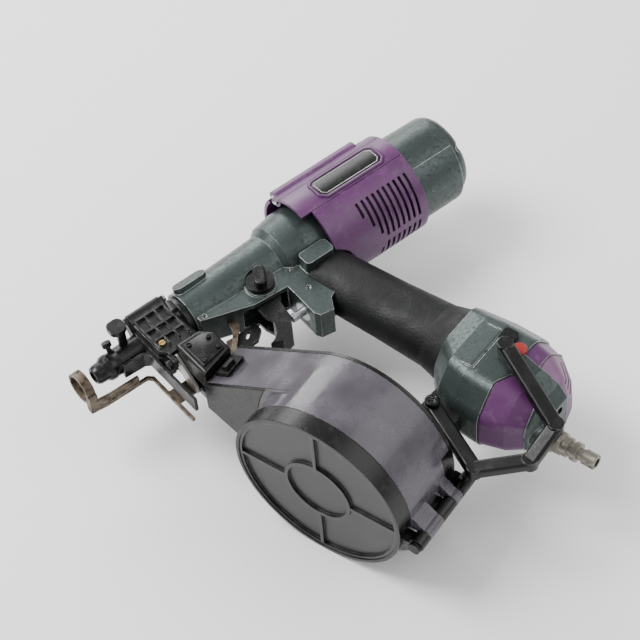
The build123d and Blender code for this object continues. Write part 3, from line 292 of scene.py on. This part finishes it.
def button_screw(name, centre, radius, height, slot, body):
    """Domed screw head with a round socket, turned about Z."""
    floor, socket, sunk = height * 0.45, radius * 0.45, -0.6
    profile = [(0, floor), (socket, floor), (radius * 0.5, height), (radius * 0.72, height * 0.94),
               (radius * 0.92, height * 0.6), (radius, height * 0.15), (radius, sunk), (0, sunk)]
    bm = bmesh.new()
    x, y, z = centre
    verts = [bm.verts.new(tool(x + r, y, z + h)) for r, h in profile]
    edges = [bm.edges.new(pair) for pair in zip(verts[:-1], verts[1:])]
    bmesh.ops.spin(bm, geom=verts + edges, cent=tool(x, y, z), axis=(0, 0, 1), angle=2 * pi, steps=32,
                   use_merge=True)
    bmesh.ops.remove_doubles(bm, verts=bm.verts, dist=1e-6)
    finish_piece(bm, name, slot, body, 0.12)


OUTLINE_STEP = 1.5


def cut_outline(x0, x1, s0, s1, corner):
    """Outline with cut corners in the unrolled shroud, as short steps that follow its curve."""
    turns = [(x0 + corner, s0), (x1 - corner, s0), (x1, s0 + corner), (x1, s1 - corner),
             (x1 - corner, s1), (x0 + corner, s1), (x0, s1 - corner), (x0, s0 + corner)]
    steps = []
    for (xa, sa), (xb, sb) in zip(turns, turns[1:] + turns[:1]):
        count = max(1, int(hypot(xb - xa, sb - sa) / OUTLINE_STEP))
        steps += [(xa + (xb - xa) * i / count, sa + (sb - sa) * i / count) for i in range(count)]
    return steps


def ring_on_shroud(name, middle, length, arc, corner, width, r0, r1, slot, bevel_mm):
    """Raised frame on the round shroud, from radius r0 to r1; middle is (x, turn in radians from the crown)."""
    x, angle = middle
    outer = cut_outline(-length / 2, length / 2, -arc / 2, arc / 2, corner)
    shrink = (1 - 2 * width / length, 1 - 2 * width / arc)
    loops = []
    bm = bmesh.new()
    for r, scale in ((r0, (1, 1)), (r1, (1, 1)), (r1, shrink), (r0, shrink)):
        loop = []
        for u, s in outer:
            a = angle + s * scale[1] / SHROUD_R
            loop.append(bm.verts.new(tool(x + u * scale[0], r * cos(a), r * sin(a))))
        loops.append(loop)
    count = len(outer)
    for first, second in zip(loops, loops[1:] + loops[:1]):
        for i in range(count):
            j = (i + 1) % count
            bm.faces.new((first[i], first[j], second[j], second[i]))
    finish_piece(bm, name, slot, "body", bevel_mm)


PLATE_MIDDLE = 232.0
PLATE_TURN = 84.5 * pi / 180
for hand, label in ((1, "upper"), (-1, "lower")):
    middle = (PLATE_MIDDLE, hand * PLATE_TURN)
    ring_on_shroud(f"{label}_plate_border", middle, length=49.6, arc=14.6, corner=2.6, width=0.5,
                   r0=36.9, r1=37.3, slot="bright_steel", bevel_mm=0.08)
    ring_on_shroud(f"{label}_plate_frame", middle, length=57.0, arc=21.4, corner=4.0, width=1.9,
                   r0=36.6, r1=37.9, slot="shroud", bevel_mm=0.35)

FEEDER_COVER_OUTLINE = [(63.5, -33), (79, -33), (83, -37), (83, -52), (63.5, -56)]
FEEDER_COVER_TOP = 21.3
FEEDER_SCREWS = [(66.2, -35.8), (80.2, -38.8), (80.2, -49.6), (66.2, -53.0)]
slab("feeder_cover", FEEDER_COVER_OUTLINE, 19.6, FEEDER_COVER_TOP, "black_plastic", "body")
for number, (x, y) in enumerate(FEEDER_SCREWS):
    button_screw(f"feeder_cover_screw_{number}", (x, y, FEEDER_COVER_TOP), radius=1.9, height=1.4,
                 slot="bolt_steel", body="body")


# ---------------------------------------------------------------- light, floor and camera


def studio():
    """Pale floor, wide soft lights and an even pale surround."""
    bm = bmesh.new()
    bmesh.ops.create_grid(bm, x_segments=1, y_segments=1, size=6)
    mesh = bpy.data.meshes.new("floor")
    bm.to_mesh(mesh)
    bm.free()
    floor = bpy.data.objects.new("floor", mesh)
    bpy.context.scene.collection.objects.link(floor)
    material, _, _ = surface("floor_paper", "#fcfcfc", 0.9)
    mesh.materials.append(material)
    world = bpy.data.worlds.new("studio")
    bpy.context.scene.world = world
    world.use_nodes = True
    world.node_tree.nodes["Background"].inputs["Color"].default_value = (1, 1, 1, 1)
    world.node_tree.nodes["Background"].inputs["Strength"].default_value = 0.8
    for name, place, size, power in (
        ("key", (-0.7, 0.9, 1.5), 0.9, 40),
        ("fill", (0.9, -0.8, 1.2), 1.2, 8),
        ("rim", (0.5, 1.3, 0.7), 0.7, 12),
    ):
        data = bpy.data.lights.new(name, "AREA")
        data.size = size
        data.energy = power
        lamp = bpy.data.objects.new(name, data)
        lamp.location = place
        lamp.rotation_euler = (-Vector(place)).to_track_quat("-Z", "Y").to_euler()
        bpy.context.scene.collection.objects.link(lamp)


def camera():
    """The camera, above the handle side of the nose."""
    right = Vector((0.77702, -0.62648, -0.06134))
    up = Vector((0.51802, 0.58104, 0.62773))
    back = Vector((-0.35762, -0.51954, 0.77601))
    data = bpy.data.cameras.new("camera")
    data.lens = 117.9
    data.sensor_width = 36
    data.clip_end = 20
    view = bpy.data.objects.new("camera", data)
    turn = Matrix((right, up, back)).transposed().to_4x4()
    place = TOOL_ORIGIN * MM + 0.1582 * right + 0.0434 * up + 1.3788 * back
    view.matrix_world = Matrix.Translation(place) @ turn
    bpy.context.scene.collection.objects.link(view)
    bpy.context.scene.camera = view


camera()
studio()
